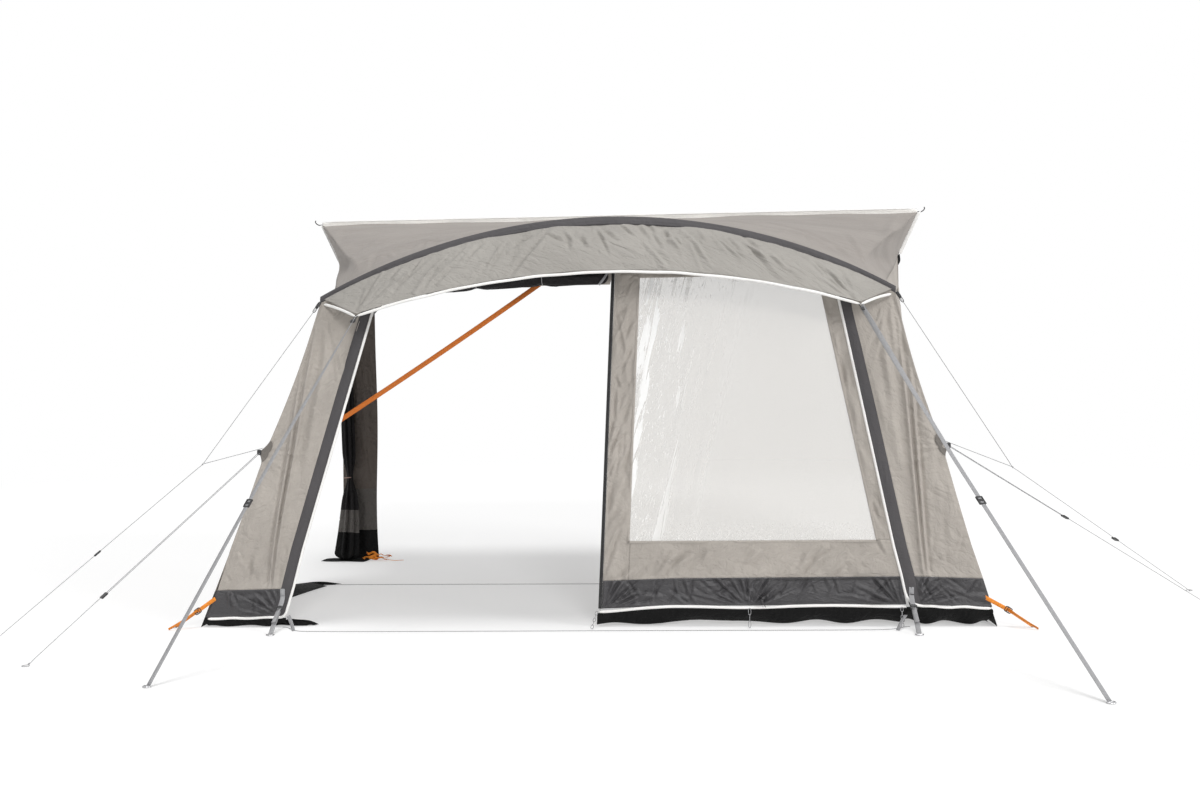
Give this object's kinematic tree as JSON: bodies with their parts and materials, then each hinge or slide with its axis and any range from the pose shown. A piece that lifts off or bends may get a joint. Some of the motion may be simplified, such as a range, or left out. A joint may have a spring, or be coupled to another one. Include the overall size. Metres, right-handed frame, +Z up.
{
  "type": "caravan awning",
  "caption": "Inflatable caravan awning with an arched front, piped visor, clear front window, rolled front door, gathered side door, guy lines and storm straps.",
  "frame": {"origin": "on the floor, below the middle of the awning without its guy lines, storm straps and ground cords", "axes": "+X to the right seen from the front, along the caravan's side; +Y towards the caravan; +Z up"},
  "size_m": [6.3029, 4.0425, 2.4098],
  "materials": {
    "awning_fabric": "matt woven polyester, warm grey",
    "visor_fabric": "matt woven polyester, light grey",
    "dark_trim": "matt woven polyester, charcoal",
    "mud_fabric": "coated polyester, dark grey",
    "black_flap": "coated fabric, black",
    "white_piping": "welted piping, white",
    "cream_beading": "sewn beading strip, cream",
    "window_film": "clear soft film",
    "orange_band": "flat webbing, dark orange",
    "orange_webbing": "flat webbing, orange",
    "grey_webbing": "flat webbing, grey",
    "guy_cord": "braided cord, grey",
    "black_plastic": "moulded, black",
    "ring_metal": "zinc-plated wire",
    "air_beam": "inflated sleeve, dark grey",
    "pad_foam": "foam pad in black fabric"
  },
  "bodies": {
    "awning": {"roof_panel": "awning_fabric", "roof_trim": "dark_trim", "front_visor": "visor_fabric", "visor_piping": "white_piping", "rail_beading": "cream_beading", "front_header": "awning_fabric", "left_wing_wall": "awning_fabric", "right_wing_wall": "awning_fabric", "left_leg_trim": "dark_trim", "right_leg_trim": "dark_trim", "left_leg_piping": "white_piping", "right_leg_piping": "white_piping", "left_mud_band": "mud_fabric", "right_mud_band": "mud_fabric", "left_mudflap": "black_flap", "right_mudflap": "black_flap", "left_side_wall": "awning_fabric", "right_side_wall": "awning_fabric", "left_rear_return": "dark_trim", "right_rear_return": "dark_trim", "left_wall_pad": "pad_foam", "right_wall_pad": "pad_foam", "left_side_door": "black_flap", "front_door_roll": "dark_trim", "front_beam": "air_beam", "beam_valve": "black_plastic", "left_tension_band": "orange_band", "left_storm_strap": "grey_webbing", "right_storm_strap": "grey_webbing", "left_foot_strap": "grey_webbing", "right_foot_strap": "grey_webbing", "left_corner_strap": "orange_webbing", "right_corner_strap": "orange_webbing", "left_upper_guy": "guy_cord", "right_upper_guy": "guy_cord", "left_guy_branch": "guy_cord", "right_guy_branch": "guy_cord", "left_lower_guy": "guy_cord", "right_lower_guy": "guy_cord", "threshold_cord": "guy_cord", "mid_cord": "guy_cord"},
    "front_panel": {"front_right_panel": "awning_fabric", "window_film": "window_film", "panel_mud_band": "mud_fabric", "panel_mudflap": "black_flap", "panel_piping": "white_piping", "front_zip": "black_plastic"},
    "slider": {"zip_slider": "black_plastic"},
    "side_door": {"right_side_door": "awning_fabric"},
    "cap": {"valve_cap": "black_plastic"},
    "left_upper_line_runner": {"left_upper_runner": "black_plastic"},
    "right_upper_line_runner": {"right_upper_runner": "black_plastic"},
    "left_lower_line_runner": {"left_lower_runner": "black_plastic"},
    "right_lower_line_runner": {"right_lower_runner": "black_plastic"},
    "left_strap_buckle": {"left_storm_buckle": "black_plastic"},
    "right_strap_buckle": {"right_storm_buckle": "black_plastic"},
    "left_strap_ring": {"left_storm_ring": "ring_metal"},
    "right_strap_ring": {"right_storm_ring": "ring_metal"},
    "left_leg_ring": {"left_foot_ring": "ring_metal"},
    "right_leg_ring": {"right_foot_ring": "ring_metal"}
  },
  "joints": [
    {"name": "front_panel_top_seam", "type": "hinge", "parent": "awning", "child": "front_panel", "pos_m": [0, -1.15425, 1.8], "axis": [-1, 0, 0], "range_deg": [0, 40]},
    {"name": "zip_slide", "type": "slide", "parent": "front_panel", "child": "slider", "axis": [0.0529, 0, 0.9986], "range_m": [0, 1.6]},
    {"name": "side_door_seam", "type": "hinge", "parent": "awning", "child": "side_door", "pos_m": [1.97504, 1.3439, 0], "axis": [0, 0, 1], "range_deg": [0, 90]},
    {"name": "valve_cap_turn", "type": "hinge", "parent": "awning", "child": "cap", "pos_m": [1.56919, -1.0066, 0.42], "axis": [0, 1, 0], "continuous": true},
    {"name": "left_upper_runner_slide", "type": "slide", "parent": "awning", "child": "left_upper_line_runner", "axis": [-0.7145, -0.2733, -0.6441], "range_m": [-0.1, 0.1]},
    {"name": "right_upper_runner_slide", "type": "slide", "parent": "awning", "child": "right_upper_line_runner", "axis": [0.7378, 0.4715, -0.483], "range_m": [-0.1, 0.1]},
    {"name": "left_lower_runner_slide", "type": "slide", "parent": "awning", "child": "left_lower_line_runner", "axis": [-0.5308, -0.5888, -0.6095], "range_m": [-0.1, 0]},
    {"name": "right_lower_runner_slide", "type": "slide", "parent": "awning", "child": "right_lower_line_runner", "axis": [0.8156, 0.2947, -0.498], "range_m": [-0.1, 0]},
    {"name": "left_storm_buckle_slide", "type": "slide", "parent": "awning", "child": "left_strap_buckle", "axis": [-0.2997, -0.5328, -0.7914], "range_m": [-0.2, 0.2]},
    {"name": "right_storm_buckle_slide", "type": "slide", "parent": "awning", "child": "right_strap_buckle", "axis": [0.3503, -0.5883, -0.7288], "range_m": [-0.2, 0.2]},
    {"name": "left_storm_ring_turn", "type": "hinge", "parent": "awning", "child": "left_strap_ring", "pos_m": [-1.778, -2.424, 0.0035], "axis": [-0.8716, 0.4902, 0], "range_deg": [0, 60]},
    {"name": "right_storm_ring_turn", "type": "hinge", "parent": "awning", "child": "right_strap_ring", "pos_m": [2.069, -2.637, 0.0035], "axis": [-0.8592, -0.5116, 0], "range_deg": [0, 60]},
    {"name": "left_foot_ring_turn", "type": "hinge", "parent": "awning", "child": "left_leg_ring", "pos_m": [-1.61206, -1.358, 0.0035], "axis": [-1, 0, 0], "range_deg": [0, 60]},
    {"name": "right_foot_ring_turn", "type": "hinge", "parent": "awning", "child": "right_leg_ring", "pos_m": [1.58794, -1.358, 0.0035], "axis": [-1, 0, 0], "range_deg": [0, 60]}
  ]
}
